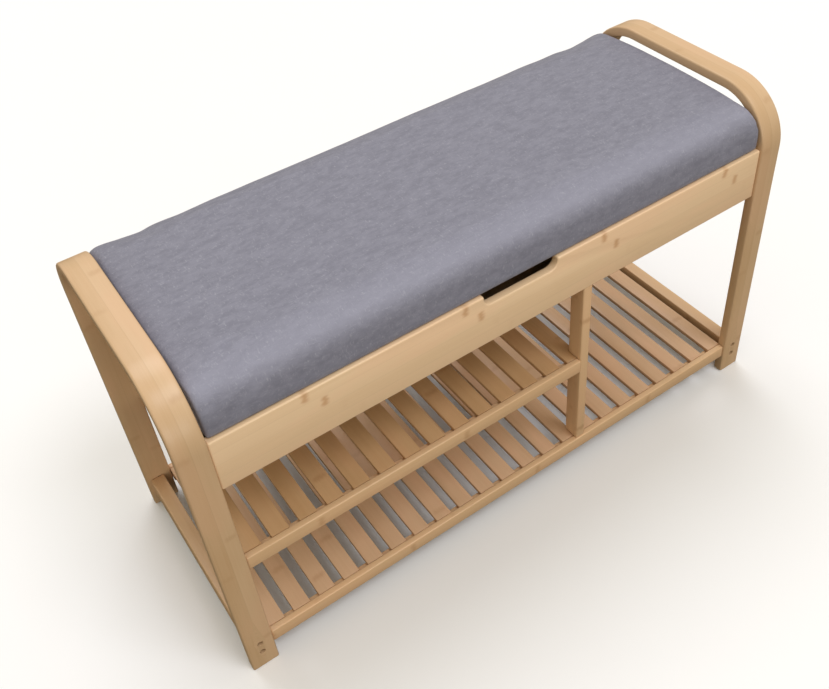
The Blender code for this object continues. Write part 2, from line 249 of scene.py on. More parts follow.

# %% [markdown]
# On the bamboo the rounded edges are painted paler, a painted highlight, and made a little
# duller than the faces; on the steel they are worn paler.  The Bevel node sees a softened
# normal near an edge, so the difference between it and the true normal is a mask of the
# edges.  The group is shared by all the hard finishes.

# %% The edge wear group
def build_edge_group():
    """A mask of the edges, from a softened normal and the true one."""
    group, given, result = new_group("rubbed_edges", [("Width", "Float", 0.002), ("Strength", "Float", 1.0)],
                                     [("Mask", "Float")])
    soft = add(group, "ShaderNodeBevel", {"Radius": given.outputs["Width"]}, samples=4)
    true = add(group, "ShaderNodeNewGeometry")
    same = add(group, "ShaderNodeVectorMath", {0: soft.outputs[0], 1: true.outputs["Normal"]},
               operation="DOT_PRODUCT")
    mask = remap(group, same.outputs["Value"], 0.985, 0.80)
    group.links.new(sums(group, "MULTIPLY", mask, given.outputs["Strength"]), result.inputs["Mask"])
    return group


edge_group = build_edge_group()
print("edge group:", len(edge_group.nodes), "nodes")

# %% [markdown]
# One recipe makes every bamboo finish.  The frames, the apron, the rails and the shelves
# differ in colour, in how wide their strips are and in how plainly the stalk's nodes show, so
# those are the values that a call gives.  The middle shelf has the bottom shelf's strips in a
# darker colour: painted shade, for the shade that falls under the box.  On the apron the nodes
# come in pairs at an even spacing, and only its top two strips have them.

# %% Bamboo materials
LACQUER_ROUGHNESS = 0.40
SLAT_STRIP = 0.025


def bamboo_material(name, pale, deep, seed, marks, strip=0.020, spacing=0.22, stagger=0.1,
                    jitter=1.0, first_marked=-1000.0, edge_highlight=0.3):
    """Lacquered bamboo whose figure follows the piece's grain attribute."""
    material, tree, shader = new_material(name)
    grain = add(tree, "ShaderNodeAttribute", attribute_name="grain").outputs["Vector"]
    figure = place_group(tree, bamboo_group, {"Grain": grain, "Strip Width": strip,
                                              "Node Spacing": spacing, "Stagger": stagger,
                                              "Jitter": jitter, "First Marked Strip": first_marked,
                                              "Seed": seed})
    edges = place_group(tree, edge_group, {"Width": 0.0018, "Strength": 1.0})

    tone = sums(tree, "MULTIPLY_ADD", figure.outputs["Strip Tone"], 0.24, -0.12)
    tone = sums(tree, "MULTIPLY_ADD", figure.outputs["Fibre"], 0.75, tone)
    tone = sums(tree, "MULTIPLY_ADD", figure.outputs["Cloud"], 0.60, tone)
    tone = sums(tree, "SUBTRACT", tone, 0.15, clamp=True)
    wood = mix_colours(tree, tone, deep, pale)
    blush = remap(tree, figure.outputs["Cloud"], 0.42, 0.68, 0.0, 0.40)
    wood = mix_colours(tree, blush, wood, tinted(pale, 0.98, 0.84, 0.80))
    marked = mix_colours(tree, sums(tree, "MULTIPLY", figure.outputs["Node Mark"], marks), wood,
                         tinted(deep, 0.72, 0.56, 0.44))
    seamed = mix_colours(tree, sums(tree, "MULTIPLY", figure.outputs["Seam"], 0.14), marked,
                         tinted(deep, 0.55))
    # The rounded edges are painted paler by the edge mask: a painted highlight.
    painted_highlight = mix_colours(tree, sums(tree, "MULTIPLY", edges.outputs["Mask"], edge_highlight), seamed,
                         tinted(pale, 1.12))
    tree.links.new(painted_highlight, shader.inputs["Base Color"])
    rough = sums(tree, "MULTIPLY_ADD", figure.outputs["Fibre"], 0.16, LACQUER_ROUGHNESS - 0.08)
    rough = sums(tree, "MULTIPLY_ADD", edges.outputs["Mask"], 0.08, rough)
    tree.links.new(rough, shader.inputs["Roughness"])
    bump = add(tree, "ShaderNodeBump", {"Height": figure.outputs["Relief"], "Strength": 0.12,
                                        "Distance": 0.0008})
    tree.links.new(bump.outputs[0], shader.inputs["Normal"])
    shader.inputs["Coat Weight"].default_value = 0.12
    shader.inputs["Coat Roughness"].default_value = 0.22
    return material


bamboo_frame = bamboo_material("bamboo_frame", linear(222, 192, 156), linear(199, 162, 120), 1.3, 0.22)
bamboo_board = bamboo_material("bamboo_board", linear(253, 224, 188), linear(238, 203, 162), 1.3, 0.75,
                               spacing=0.2145, stagger=0.1026, jitter=0.0, first_marked=-1.0, edge_highlight=0.1)
bamboo_rail = bamboo_material("bamboo_rail", linear(232, 197, 156), linear(212, 173, 132), 7.9, 0.5)
bamboo_slat = bamboo_material("bamboo_slat", linear(220, 185, 151), linear(195, 156, 120), 4.2, 0.35,
                              strip=SLAT_STRIP, spacing=0.27)
# The middle shelf: the bottom shelf's bamboo painted darker, a painted shade for the shade under the box.
bamboo_shelf = bamboo_material("bamboo_shelf", linear(206, 169, 127), linear(180, 139, 95), 4.2, 0.35,
                               strip=SLAT_STRIP, spacing=0.27)
print("bamboo materials:", [m.name for m in bpy.data.materials if m.name.startswith("bamboo")])

# %% [markdown]
# ## Finer boards
#
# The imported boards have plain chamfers.  A real edge is sanded round and catches a thin
# line of light, so each board is made again at the same size with a stepped round
# edge.  A board starts as a cube, joints and notches are cut out of it, and only then are
# the edges rounded, because a cut edge is sanded too.

# %% Mesh helpers
def mesh_object(name, mesh):
    """An object for a mesh, at the origin."""
    made = bpy.data.objects.new(name, mesh)
    bpy.context.scene.collection.objects.link(made)
    return made


def solid_object(name, solid):
    """An object for a bmesh, which is freed."""
    mesh = bpy.data.meshes.new(name)
    solid.to_mesh(mesh)
    solid.free()
    return mesh_object(name, mesh)


def coordinates(mesh):
    """The places of a mesh's points, one row each."""
    values = np.empty(len(mesh.vertices) * 3, np.float32)
    mesh.vertices.foreach_get("co", values)
    return values.reshape(-1, 3).astype(float)


def keep_vectors(mesh, name, values):
    """Store one vector for each point of a mesh."""
    layer = mesh.attributes.new(name, "FLOAT_VECTOR", "POINT")
    layer.data.foreach_set("vector", np.asarray(values, np.float32).ravel())


def bake_modifiers(piece):
    """Turn a piece and its modifiers into one plain mesh."""
    bpy.context.view_layer.update()
    mesh = bpy.data.meshes.new_from_object(piece.evaluated_get(bpy.context.evaluated_depsgraph_get()))
    piece.modifiers.clear()
    piece.data = mesh


print("mesh helpers ready")

# %% [markdown]
# A board is a box with its place in its mesh, holes are bored with drills, and one function
# cuts, rounds and shades.  Another finishes a piece: its material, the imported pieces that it
# stands for, and the body that it moves with.

# %% Board helpers
ROUNDED_FROM, SHARP_FROM = math.radians(30), math.radians(40)


def cube_between(name, low, high):
    """A box mesh object whose place is in its mesh."""
    solid = bmesh.new()
    bmesh.ops.create_cube(solid, size=1.0)
    size = [b - a for a, b in zip(low, high)]
    middle = [(a + b) / 2 for a, b in zip(low, high)]
    solid.transform(Matrix.Translation(middle) @ Matrix.Diagonal((*size, 1.0)))
    return solid_object(name, solid)


def drill(name, centre, radius, depth, axis, sides=32):
    """A cylinder mesh object along an axis, used to cut a hole."""
    solid = bmesh.new()
    turn = {"Y": Matrix.Rotation(math.pi / 2, 4, "X"), "Z": Matrix.Identity(4)}[axis]
    bmesh.ops.create_cone(solid, cap_ends=True, segments=sides, radius1=radius, radius2=radius, depth=depth,
                          matrix=Matrix.Translation(centre) @ turn)
    return solid_object(name, solid)


def smooth_faces(piece):
    """Smooth shading, with the sharp edges kept."""
    piece.data.shade_smooth()
    piece.data.set_sharp_from_angle(angle=SHARP_FROM)


def shaped(piece, cutters=(), rounding=0.0, segments=3):
    """Cut the piece, round its edges and leave it as one plain mesh."""
    for cutter in cutters:
        cut = piece.modifiers.new("cut", "BOOLEAN")
        cut.object = cutter
        cut.operation = "DIFFERENCE"
    if rounding:
        edge = piece.modifiers.new("round", "BEVEL")
        edge.width = rounding
        edge.segments = segments
        edge.limit_method = "ANGLE"
        edge.angle_limit = ROUNDED_FROM
    bake_modifiers(piece)
    for cutter in cutters:
        bpy.data.objects.remove(cutter)
    smooth_faces(piece)
    return piece


def set_grain(piece, order, shift):
    """Grain coordinates from the piece's own place: order names the axes along, across and through."""
    columns = ["XYZ".index(axis) for axis in order]
    keep_vectors(piece.data, "grain", coordinates(piece.data)[:, columns] + np.array(shift))


def dress(piece, material, body, *nodes, slot="bamboo"):
    """Give a finished piece its material and body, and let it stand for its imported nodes."""
    piece.data.materials.clear()
    piece.data.materials.append(material)
    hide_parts(*nodes)
    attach(piece, body)
    print(piece.name, len(piece.data.polygons), "faces")


print("board helpers ready")

# %% [markdown]
# ## End frames
#
# Each end frame is one strip of bamboo bent round a former, so its fibres run up the front
# leg, over the top and down the back.  A section swept along that path gives the shape, and
# the distance travelled along the path is stored as the grain, so the figure bends with it.

# %% The band's path and section
BAND_THICK, BEND_RADIUS, BAND_ROUNDING = 0.015, 0.083, 0.0026
FOOT_EASE, FOOT_ROUNDING = 0.0012, 0.0018


def band_path(half_depth, height, radius, steps=24):
    """Points (y, z) along the band's outer face, each with the direction that faces outwards."""
    rows = []
    flat = half_depth - radius
    top = height - radius
    for z in np.linspace(0.0, top, 9)[:-1]:
        rows.append(((-half_depth, z), (-1.0, 0.0)))
    for turn in np.linspace(math.pi, math.pi / 2, steps + 1):
        rows.append(((-flat + radius * math.cos(turn), top + radius * math.sin(turn)),
                     (math.cos(turn), math.sin(turn))))
    for y in np.linspace(-flat, flat, 5)[1:-1]:
        rows.append(((y, height), (0.0, 1.0)))
    for turn in np.linspace(math.pi / 2, 0.0, steps + 1):
        rows.append(((flat + radius * math.cos(turn), top + radius * math.sin(turn)),
                     (math.cos(turn), math.sin(turn))))
    for z in np.linspace(top, 0.0, 9)[1:]:
        rows.append(((half_depth, z), (1.0, 0.0)))
    return rows


def section(width, thick, rounding, corner_steps=3, flat_steps=4):
    """Rounded rectangle (across, inwards) running once round the band."""
    ring = []
    corners = [(-1, 0), (1, 0), (1, 1), (-1, 1)]
    for index, (side, depth) in enumerate(corners):
        centre_x = side * (width / 2 - rounding)
        centre_d = rounding if depth == 0 else thick - rounding
        first = math.radians(180 + 90 * index)
        for step in range(corner_steps + 1):
            turn = first + math.radians(90) * step / corner_steps
            ring.append((centre_x + rounding * math.cos(turn), centre_d + rounding * math.sin(turn)))
        if index in (0, 2):
            across = width - 2 * rounding
            for step in range(1, flat_steps):
                x = (-1 if index == 0 else 1) * (across / 2 - across * step / flat_steps)
                ring.append((x, 0.0 if index == 0 else thick))
    return ring


print("band path and section ready")

# %% [markdown]
# The section is swept along the path by hand: each station gets one ring of points, and
# neighbouring rings are joined with faces.  The first and last rings are drawn in a little,
# which eases the edges of the feet.  Then the bolt holes are bored through both legs.

# %% Sweep the bent end frames
GRAIN_SHIFT = 0.5
BOLT_RADIUS, BOLT_HEIGHTS = 0.0043, (0.0315, 0.0505)
DRILL_LENGTH = 0.4


def bent_band(name, centre_x, width, half_depth, height):
    """A bent strip of bamboo, with grain coordinates that follow the bend."""
    path = band_path(half_depth, height, BEND_RADIUS)
    ring = section(width, BAND_THICK, BAND_ROUNDING)
    small = section(width - 2 * FOOT_EASE, BAND_THICK - 2 * FOOT_EASE, FOOT_ROUNDING)
    small = [(x, d + FOOT_EASE) for x, d in small]
    solid = bmesh.new()
    grain = solid.verts.layers.float_vector.new("grain")
    travelled = 0.0
    rings = []
    last = None
    stations = [(*path[0], small)]
    stations += [((y, max(z, FOOT_EASE)), out, ring) for (y, z), out in path]
    stations.append((*path[-1], small))
    for (y, z), (out_y, out_z), shape in stations:
        if last is not None:
            travelled += math.hypot(y - last[0], z - last[1])
        last = (y, z)
        made = []
        for across, inwards in shape:
            vert = solid.verts.new((centre_x + across, y - out_y * inwards, z - out_z * inwards))
            vert[grain] = (travelled, across + GRAIN_SHIFT, inwards + GRAIN_SHIFT)
            made.append(vert)
        rings.append(made)
    for near, far in zip(rings, rings[1:]):
        for i in range(len(near)):
            j = (i + 1) % len(near)
            solid.faces.new((near[i], near[j], far[j], far[i]))
    solid.faces.new(list(reversed(rings[0])))
    solid.faces.new(rings[-1])
    bmesh.ops.recalc_face_normals(solid, faces=solid.faces)
    return solid_object(name, solid)


for label in ("left", "right"):
    low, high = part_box(label + "_arch")
    middle = (low.x + high.x) / 2
    band = bent_band(label + "_bent_frame", middle, high.x - low.x, high.y, high.z)
    shaped(band, [drill("hole", (middle, 0.0, z), BOLT_RADIUS, DRILL_LENGTH, "Y") for z in BOLT_HEIGHTS])
    dress(band, bamboo_frame, "frame", label + "_arch")

# %% [markdown]
# ## Storage box
#
# The apron is the board that the eye meets first.  Its top edge is rounded, and a finger
# notch with round lower corners is cut into it.  The floor sits in grooves.

# %% The finger notch and the groove
CLEARANCE = 0.0003
floor_low, floor_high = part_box("box_floor")
groove_low = (-0.5, floor_low.y - CLEARANCE, floor_low.z - CLEARANCE)
groove_high = (0.5, floor_high.y + CLEARANCE, floor_high.z + CLEARANCE)
apron_low, apron_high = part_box("front_apron")
NOTCH_HALF, NOTCH_RADIUS, NOTCH_BOTTOM = 0.056, 0.012, 0.419


def notch_cutter():
    """A slot with round lower corners, open at the top: an outline pushed through the apron."""
    front, back = apron_low.y - 0.01, apron_high.y + 0.01
    centre_z = NOTCH_BOTTOM + NOTCH_RADIUS
    inner = NOTCH_HALF - NOTCH_RADIUS
    solid = bmesh.new()
    outline = [(inner, NOTCH_BOTTOM)]
    outline += [(inner + NOTCH_RADIUS * math.sin(t), centre_z - NOTCH_RADIUS * math.cos(t))
                for t in np.linspace(0, math.pi / 2, 13)[1:]]
    outline += [(NOTCH_HALF, apron_high.z + 0.02)]
    outline += [(-x, z) for x, z in reversed(outline)]
    face = solid.faces.new([solid.verts.new((x, front, z)) for x, z in outline])
    moved = bmesh.ops.extrude_face_region(solid, geom=[face])["geom"]
    bmesh.ops.translate(solid, vec=(0, back - front, 0),
                        verts=[v for v in moved if isinstance(v, bmesh.types.BMVert)])
    bmesh.ops.recalc_face_normals(solid, faces=solid.faces)
    return solid_object("notch", solid)


print("notch", round(2 * NOTCH_HALF, 3), "m wide,", round(apron_high.z - NOTCH_BOTTOM, 4), "m deep")

# %% [markdown]
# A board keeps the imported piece's box.  Its grain runs along its length, and the shift
# slides the figure, so that no two boards show the same piece of bamboo.

# %% Box boards
BOARD_ROUNDING, FRONT_ROUNDING = 0.0018, 0.0022


def board(node, order, cutters, rounding, shift, material=bamboo_frame):
    """A rounded board that stands for a packed one."""
    low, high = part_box(node)
    made = cube_between(node + "_board", low, high)
    shaped(made, cutters, rounding)
    set_grain(made, order, shift)
    dress(made, material, "frame", node)


board("front_apron", "XZY", [notch_cutter(), cube_between("groove", groove_low, groove_high)],
      FRONT_ROUNDING, (0.19075, -0.418, 0.5), bamboo_board)
board("back_panel", "XZY", [cube_between("groove", groove_low, groove_high)], BOARD_ROUNDING,
      (0.83, 0.011, 0.5))
board("left_end_panel", "YZX", (), BOARD_ROUNDING, (1.21, 0.006, 0.9))
board("right_end_panel", "YZX", (), BOARD_ROUNDING, (2.47, 0.006, 0.9))

# %% [markdown]
# ## Shelf rails and posts
#
# The long rails have a rabbet along their inner top edge.  The slats lie in it, so their ends
# are hidden behind the rail's lip.  The rails at the ends are plain.

# %% Rails and posts
SLAT_THICK, SLAT_ROUNDING = 0.007, 0.0012
RAIL_ROUNDING, RABBET_REACH = 0.0016, 0.027


def rail(node, shift):
    """A rail; one that carries slats has a rabbet along its inner edge."""
    low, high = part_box(node)
    if high.y - low.y > high.x - low.x:
        board(node, "YZX", (), RAIL_ROUNDING, shift, bamboo_rail)
        return
    middle = (low.y + high.y) / 2
    cut_low, cut_high = low.copy(), high.copy()
    cut_low.x, cut_high.x = low.x - 0.01, high.x + 0.01
    cut_low.y, cut_high.y = sorted((middle, middle - math.copysign(RABBET_REACH, middle)))
    cut_low.z, cut_high.z = high.z - SLAT_THICK - CLEARANCE, high.z + 0.01
    board(node, "XZY", [cube_between("rabbet", cut_low, cut_high)], RAIL_ROUNDING, shift, bamboo_rail)


rail("bottom_front_rail", (0.21, 0.307, 0.5))
rail("bottom_back_rail", (1.47, 0.307, 0.5))
rail("mid_front_rail", (0.55, 0.1385, 0.5))
rail("mid_back_rail", (1.93, 0.1385, 0.5))
rail("left_end_rail", (0.77, 0.305, 0.9))
rail("right_end_rail", (1.15, 0.305, 0.9))
for node, along in (("front_post", 0.62), ("back_post", 1.38)):
    board(node, "ZXY", (), FRONT_ROUNDING, (along, 0.3, 0.5), bamboo_rail)

# %% [markdown]
# ## Slats
#
# The slats are the same strip of bamboo repeated at an even pitch, which is what Geometry
# Nodes are for.  One rounded strip is placed on a row of points, and each copy gets grain
# coordinates of its own from a seeded random number, so that no two slats look alike.

# %% The slat row tree
def tree_input(tree, label, kind, default=None):
    """Add an input to a tree and give back its identifier."""
    socket = tree.interface.new_socket(label, in_out="INPUT", socket_type="NodeSocket" + kind)
    if default is not None:
        socket.default_value = default
    return socket.identifier


def build_slat_tree():
    """A row of slats from one slat: count, pitch and first place are inputs."""
    tree = bpy.data.node_groups.new("slat_row", "GeometryNodeTree")
    tree.interface.new_socket("Geometry", in_out="OUTPUT", socket_type="NodeSocketGeometry")
    names = {"Slat": tree_input(tree, "Slat", "Object"),
             "Count": tree_input(tree, "Count", "Int", 10),
             "Pitch": tree_input(tree, "Pitch", "Float", 0.038),
             "First": tree_input(tree, "First", "Float", 0.0),
             "Height": tree_input(tree, "Height", "Float", 0.0),
             "Seed": tree_input(tree, "Seed", "Int", 1),
             "Finish": tree_input(tree, "Finish", "Material")}
    given = tree.nodes.new("NodeGroupInput")
    result = tree.nodes.new("NodeGroupOutput")
    start = add(tree, "ShaderNodeCombineXYZ", {"X": given.outputs["First"], "Z": given.outputs["Height"]})
    step = add(tree, "ShaderNodeCombineXYZ", {"X": given.outputs["Pitch"]})
    line = add(tree, "GeometryNodeMeshLine", {"Count": given.outputs["Count"],
                                              "Start Location": start.outputs[0],
                                              "Offset": step.outputs[0]}, mode="OFFSET")
    source = add(tree, "GeometryNodeObjectInfo", {"Object": given.outputs["Slat"]})
    copies = add(tree, "GeometryNodeInstanceOnPoints", {"Points": line.outputs[0],
                                                        "Instance": source.outputs["Geometry"]})
    chance = add(tree, "FunctionNodeRandomValue", {"Min": (0.0, 0.0, 0.0), "Max": (9.0, 4.0, 0.0),
                                                   "Seed": given.outputs["Seed"]}, data_type="FLOAT_VECTOR")
    whole = add(tree, "ShaderNodeVectorMath", {0: chance.outputs[0], 1: (1.0, 0.1, 1.0)}, operation="SNAP")
    keep = add(tree, "GeometryNodeStoreNamedAttribute", {"Geometry": copies.outputs[0], "Name": "start",
                                                         "Value": whole.outputs[0]},
               data_type="FLOAT_VECTOR", domain="INSTANCE")
    real = add(tree, "GeometryNodeRealizeInstances", {"Geometry": keep.outputs[0]})
    blank = add(tree, "GeometryNodeInputNamedAttribute", {"Name": "blank"}, data_type="FLOAT_VECTOR")
    begin = add(tree, "GeometryNodeInputNamedAttribute", {"Name": "start"}, data_type="FLOAT_VECTOR")
    grain = add(tree, "ShaderNodeVectorMath", {0: blank.outputs["Attribute"], 1: begin.outputs["Attribute"]},
                operation="ADD")
    final = add(tree, "GeometryNodeStoreNamedAttribute", {"Geometry": real.outputs[0], "Name": "grain",
                                                          "Value": grain.outputs[0]},
                data_type="FLOAT_VECTOR", domain="POINT")
    finish = add(tree, "GeometryNodeSetMaterial", {"Geometry": final.outputs[0],
                                                   "Material": given.outputs["Finish"]})
    tree.links.new(finish.outputs[0], result.inputs[0])
    return tree, names


slat_tree, slat_names = build_slat_tree()
print("slat tree:", len(slat_tree.nodes), "nodes")

# %% [markdown]
# A tree's result is kept as a plain mesh.  The modifier's inputs are set by their
# identifiers before the object is first evaluated, and the helper attributes that only the
# tree needed are removed at the end.

# %% Run a tree and keep its result as a plain mesh
def grown(name, mesh, tree, names, **values):
    """An object with the mesh that a Geometry Nodes tree makes from its named inputs."""
    holder = mesh_object(name, mesh)
    growth = holder.modifiers.new(tree.name, "NODES")
    growth.node_group = tree
    for key, value in values.items():
        growth[names[key]] = value
    bake_modifiers(holder)
    for extra in ("start", "blank", "facing"):
        if extra in holder.data.attributes:
            holder.data.attributes.remove(holder.data.attributes[extra])
    return holder


def slat_blank(node):
    """One slat at the middle of the row, with its grain coordinates."""
    low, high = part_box(node)
    half_width = (high.x - low.x) / 2
    blank = cube_between("slat_blank", (-half_width, low.y, -SLAT_THICK), (half_width, high.y, 0.0))
    shaped(blank, (), SLAT_ROUNDING, 2)
    # The fibres run along Y, and the middle of the slat is the middle of its one strip
    grain = coordinates(blank.data)[:, [1, 0, 2]] + np.array((0.0, SLAT_STRIP / 2, 0.0))
    keep_vectors(blank.data, "blank", grain)
    return blank


def slat_row(name, nodes, seed, finish):
    """The slats of one shelf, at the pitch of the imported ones."""
    first_low, first_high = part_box(nodes[0])
    last_low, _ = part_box(nodes[-1])
    blank = slat_blank(nodes[0])
    pitch = (last_low.x - first_low.x) / (len(nodes) - 1)
    row = grown(name, bpy.data.meshes.new(name), slat_tree, slat_names, Slat=blank, Count=len(nodes),
                Pitch=pitch, First=(first_low.x + first_high.x) / 2, Height=first_high.z, Seed=seed,
                Finish=finish)
    bpy.data.objects.remove(blank)
    smooth_faces(row)
    print(name, "pitch", round(pitch * 1000, 2), "mm")
    dress(row, finish, "frame", *nodes)


bottom_nodes = ["bottom_slat_" + str(i).zfill(2) for i in range(1, 23)]
mid_nodes = ["mid_slat_" + str(i).zfill(2) for i in range(1, 14)]
slat_row("bottom_slats", bottom_nodes, 11, bamboo_slat)
slat_row("middle_slats", mid_nodes, 23, bamboo_shelf)

# %% [markdown]
# The last slat of the middle shelf lies between the posts, so its two outer corners are cut
# away round them.

# %% The notched slat
POST_INNER_FACE = 0.1412
post_low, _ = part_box("front_post")
last_low, last_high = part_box("mid_slat_14")
notches = []
for side in (-1, 1):
    near, far = sorted((side * POST_INNER_FACE, side * (POST_INNER_FACE + 0.05)))
    notches.append(cube_between("post_notch", (post_low.x - CLEARANCE, near, last_low.z - 0.01),
                                (last_high.x + 0.01, far, last_high.z + 0.01)))
board("mid_slat_14", "YXZ", notches, SLAT_ROUNDING, (3.3, 0.0, 0.0), bamboo_shelf)

# %% [markdown]
# ## The padded seat
#
# The seat is a foam slab on a board, wrapped in heather cloth: upright at the front, with a
# roll along the edge that grows towards the corners, and slightly crowned.  The closed shape is
# built a little slim, then inflated by a short cloth simulation, which gives the cover the
# slight crown and unevenness of real upholstery.  Its lowest rim is pinned to the board.

# %% The seat's starting shape
seat_low, seat_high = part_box("seat_cushion")
print("seat solid", [round(v, 4) for v in seat_low], [round(v, 4) for v in seat_high])
SEAT_FRONT_ROLL, SEAT_BACK_ROLL, SEAT_END_ROLL = 0.018, 0.020, 0.006
CORNER_REACH, FRONT_CORNER_GROWTH, BACK_CORNER_GROWTH = 0.12, 0.012, 0.006
SEAT_CREST, CROWN, FRONT_SAG, SAG_REACH = 0.4966, 0.25, 0.0045, 0.065
SLIM = 0.0008
GRID_ALONG, GRID_ACROSS = 0.006, 0.005


def roll_height(y, x):
    """Height of the seat's top at a place, with the rolls at the front, back and ends."""
    front = y - (seat_low.y + SLIM)
    back = (seat_high.y - SLIM) - y
    end = (seat_high.x - SLIM) - abs(x)
    top = SEAT_CREST - CROWN * y * y - FRONT_SAG * max(0.0, 1 - front / SAG_REACH) ** 2
    corner = max(0.0, min(1.0, 1 - end / CORNER_REACH)) ** 2
    front_roll = SEAT_FRONT_ROLL + FRONT_CORNER_GROWTH * corner
    back_roll = SEAT_BACK_ROLL + BACK_CORNER_GROWTH * corner
    drop = 0.0
    for distance, radius in ((front, front_roll), (back, back_roll), (end, SEAT_END_ROLL)):
        if distance < radius:
            inside = max(0.0, min(1.0, 1 - distance / radius))
            drop += radius * (1 - math.sqrt(max(0.0, 1 - inside ** 2)))
    return top - drop


def spread(low, high, step, roll):
    """Evenly spaced places, closer together within the roll at each end."""
    inner = list(np.arange(low + roll, high - roll, step))
    ends = [roll * (1 - math.cos(t)) for t in np.linspace(0, math.pi / 2, 9)[:-1]]
    return [low + e for e in ends] + inner + [high - e for e in reversed(ends)]


def seat_shape():
    """The slim seat as a closed block: a grid for the top, straight sides and a flat base."""
    xs = spread(seat_low.x + SLIM, seat_high.x - SLIM, GRID_ALONG, SEAT_END_ROLL)
    ys = spread(seat_low.y + SLIM, seat_high.y - SLIM, GRID_ACROSS, SEAT_FRONT_ROLL)
    base = seat_low.z
    solid = bmesh.new()
    tops = [[solid.verts.new((x, y, roll_height(y, x))) for y in ys] for x in xs]
    bottoms = [[solid.verts.new((x, y, base)) for y in ys] for x in xs]
    for i in range(len(xs) - 1):
        for j in range(len(ys) - 1):
            solid.faces.new((tops[i][j], tops[i + 1][j], tops[i + 1][j + 1], tops[i][j + 1]))
            solid.faces.new((bottoms[i][j], bottoms[i][j + 1], bottoms[i + 1][j + 1], bottoms[i + 1][j]))
    rim = [(i, 0) for i in range(len(xs))]
    rim += [(len(xs) - 1, j) for j in range(1, len(ys))]
    rim += [(i, len(ys) - 1) for i in range(len(xs) - 2, -1, -1)]
    rim += [(0, j) for j in range(len(ys) - 2, 0, -1)]
    for (a, b), (c, d) in zip(rim, rim[1:] + rim[:1]):
        solid.faces.new((bottoms[a][b], bottoms[c][d], tops[c][d], tops[a][b]))
    bmesh.ops.recalc_face_normals(solid, faces=solid.faces)
    return solid_object("seat_cover", solid)


seat = seat_shape()
print("seat start", len(seat.data.vertices), "points")

# %% [markdown]
# Cloth is simulated on an even mesh, so the block is remeshed first.  Air pressure pushes
# the closed cover outwards for twenty frames.  A real cover is glued to dense foam and swells
# only a little, so a share of the movement is kept, less and less towards the ends, where the
# bent frames hold it in.

# %% Inflate the cover
EVEN_MESH = 0.0056
SWELL_CAP, STRETCH_KEPT = 0.022, 0.3
END_MARGIN, END_FADE = 0.004, 0.06
PRESSURE, SIM_FRAMES, HELD_HEIGHT = 4.0, 20, 0.006


def remeshed(piece, size):
    """Give a closed piece an even mesh of small squares."""
    grid = piece.modifiers.new("even_mesh", "REMESH")
    grid.mode = "VOXEL"
    grid.voxel_size = size
    bake_modifiers(piece)


def inflate(piece):
    """The cover's points after a short cloth simulation, its low rim held to the board."""
    before = coordinates(piece.data)
    held = piece.vertex_groups.new(name="held")
    for index, point in enumerate(before):
        if point[2] < seat_low.z + HELD_HEIGHT:
            held.add([index], 1.0, "REPLACE")
    cloth = piece.modifiers.new("cloth", "CLOTH")
    settings = cloth.settings
    settings.quality = 6
    settings.mass = 0.3
    settings.tension_stiffness = 40
    settings.compression_stiffness = 25
    settings.shear_stiffness = 8
    settings.bending_stiffness = 6
    settings.use_pressure = True
    settings.uniform_pressure_force = PRESSURE
    settings.effector_weights.gravity = 0.0
    settings.vertex_group_mass = "held"
    cloth.collision_settings.use_collision = False
    cloth.point_cache.frame_start = 1
    cloth.point_cache.frame_end = SIM_FRAMES
    for number in range(1, SIM_FRAMES + 1):
        bpy.context.scene.frame_set(number)
    bake_modifiers(piece)
    piece.vertex_groups.clear()
    moved = coordinates(piece.data) - before
    length = np.linalg.norm(moved, axis=1)
    share = np.minimum(1.0, SWELL_CAP / np.maximum(length, 1e-9)) * STRETCH_KEPT
    bpy.context.scene.frame_set(1)
    print("inflated, largest move", round(float(length.max()) * 1000, 1), "mm, mean",
          round(float(length.mean()) * 1000, 2), "mm")
    inside = np.clip((seat_high.x - END_MARGIN - np.abs(before[:, 0])) / END_FADE, 0.0, 1.0)
    return before + moved * (share * inside)[:, None]


remeshed(seat, EVEN_MESH)
# The simulation gives the seat a new mesh, so the points are worked out before it is written to
seat_points = inflate(seat)
seat.data.vertices.foreach_set("co", seat_points.astype(np.float32).ravel())

# %% [markdown]
# The frames and the board limit how far the real cover can swell, so the simulated points
# are eased back inside the room the seat has, and the top keeps its measured crown.  Under
# the seat the cover stops at the board, so its base is lifted a little within the board's
# outline.

# %% Fit the cover to its room
BASE_LIFT, BASE_REACH = 0.004, 0.003
TOP_ROOM, FRONT_ROOM, BACK_ROOM = 0.0006, 0.0012, 0.0008
WIDE_RIPPLE, FINE_RIPPLE = 0.0009, 0.00035
board_low, board_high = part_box("lid_board")


def fit_cover(piece):
    """Keep the cover inside its space and give it the soft unevenness of stretched cloth."""
    points = coordinates(piece.data)
    roof = seat_high.z + TOP_ROOM
    limit_x = seat_high.x + TOP_ROOM
    for index, (x, y, z) in enumerate(points):
        height = (z - seat_low.z) / (seat_high.z - seat_low.z)
        ripple = noise.noise(Vector((x * 9, y * 14, z * 20))) * WIDE_RIPPLE
        ripple += noise.noise(Vector((x * 31, y * 40, z * 30))) * FINE_RIPPLE
        if z > seat_low.z + BASE_LIFT:
            z += ripple * min(1.0, height * 2)
        over_board = board_low.x < x < board_high.x and board_low.y < y < board_high.y
        if over_board and z < seat_low.z + BASE_REACH:
            z = seat_low.z + BASE_LIFT
        points[index] = (max(-limit_x, min(limit_x, x)),
                         max(seat_low.y - FRONT_ROOM, min(seat_high.y + BACK_ROOM, y)),
                         max(seat_low.z, min(roof, z)))
    piece.data.vertices.foreach_set("co", points.astype(np.float32).ravel())
    piece.data.update()


